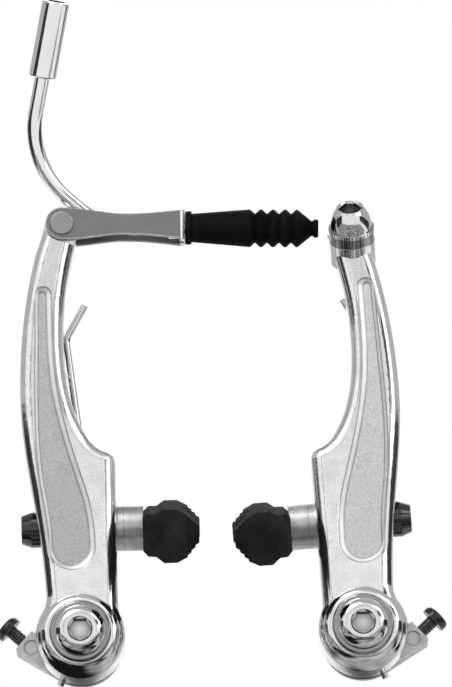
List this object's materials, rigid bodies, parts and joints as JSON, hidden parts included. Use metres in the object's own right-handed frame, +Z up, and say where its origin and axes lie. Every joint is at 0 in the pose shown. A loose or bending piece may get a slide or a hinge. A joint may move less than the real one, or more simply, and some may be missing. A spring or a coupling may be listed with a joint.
{
  "type": "linear-pull bicycle rim brake",
  "caption": "Linear-pull bicycle rim brake: upright arms with pads, return springs, a link with curved cable guide and boot, and a cable clamp bolt.",
  "frame": {"origin": "midway between the two pivot axes, in the plane of the pad studs", "axes": "+X to the right seen from the front, +Y to the frame behind, +Z up along the arms"},
  "size_m": [0.1096, 0.0626, 0.1669],
  "materials": {
    "polished_alloy": "polished",
    "cast_alloy": "satin",
    "steel": "satin",
    "bright_bolt": "polished",
    "spring_wire": "bright",
    "black_screw": "semi-gloss",
    "black_nut": "gloss",
    "zinc_washer": "satin",
    "rubber": "matte",
    "link_sheet": "satin",
    "chrome": "polished",
    "liner": "matte"
  },
  "bodies": {
    "frame_side": {"left_bush": "steel", "left_pivot_washer": "steel", "left_pivot_bolt": "bright_bolt", "left_spring": "spring_wire", "left_spring_plate": "cast_alloy", "right_bush": "steel", "right_pivot_washer": "steel", "right_pivot_bolt": "bright_bolt", "right_spring": "spring_wire", "right_spring_plate": "cast_alloy"},
    "left_arm_body": {"left_arm": "polished_alloy", "left_spring_peg": "steel", "left_pad": "rubber", "left_pad_stud": "steel", "left_inner_cup_washer": "zinc_washer", "left_inner_dome_washer": "zinc_washer", "left_outer_cup_washer": "zinc_washer", "left_outer_dome_washer": "zinc_washer", "left_pad_nut": "black_nut"},
    "left_screw": {"left_tension_screw": "black_screw"},
    "right_arm_body": {"right_arm": "polished_alloy", "right_spring_peg": "steel", "right_pad": "rubber", "right_pad_stud": "steel", "right_inner_cup_washer": "zinc_washer", "right_inner_dome_washer": "zinc_washer", "right_outer_cup_washer": "zinc_washer", "right_outer_dome_washer": "zinc_washer", "right_pad_nut": "black_nut", "anchor_washer": "steel", "anchor_bolt": "bright_bolt"},
    "right_screw": {"right_tension_screw": "black_screw"},
    "link_body": {"link": "link_sheet", "link_rivet": "steel", "boot": "rubber"},
    "guide": {"guide_tube": "chrome", "guide_liner": "liner", "guide_ferrule": "chrome"}
  },
  "joints": [
    {"name": "left_arm_turn", "type": "hinge", "parent": "frame_side", "child": "left_arm_body", "pos_m": [-0.03425, 0, 0], "axis": [0, 1, 0], "range_deg": [-28, 0.5], "stiffness_Nm_per_rad": 0.8, "deforming": ["left_spring"]},
    {"name": "left_screw_slide", "type": "slide", "parent": "frame_side", "child": "left_screw", "axis": [-0.7373, 0, 0.6756], "range_m": [0, 0.003]},
    {"name": "right_arm_turn", "type": "hinge", "parent": "frame_side", "child": "right_arm_body", "pos_m": [0.03425, 0, 0], "axis": [0, -1, 0], "range_deg": [-28, 0.5], "stiffness_Nm_per_rad": 0.8, "deforming": ["right_spring"]},
    {"name": "right_screw_slide", "type": "slide", "parent": "frame_side", "child": "right_screw", "axis": [0.7373, 0, 0.6756], "range_m": [0, 0.003]},
    {"name": "link_turn", "type": "hinge", "parent": "left_arm_body", "child": "link_body", "pos_m": [-0.03665, -0.002, 0.102], "axis": [0, -1, 0], "range_deg": [-15, 60]},
    {"name": "guide_swivel", "type": "hinge", "parent": "link_body", "child": "guide", "pos_m": [-0.03665, -0.002, 0.102], "axis": [0.9995, 0, -0.0305], "range_deg": [-36, 0]}
  ]
}
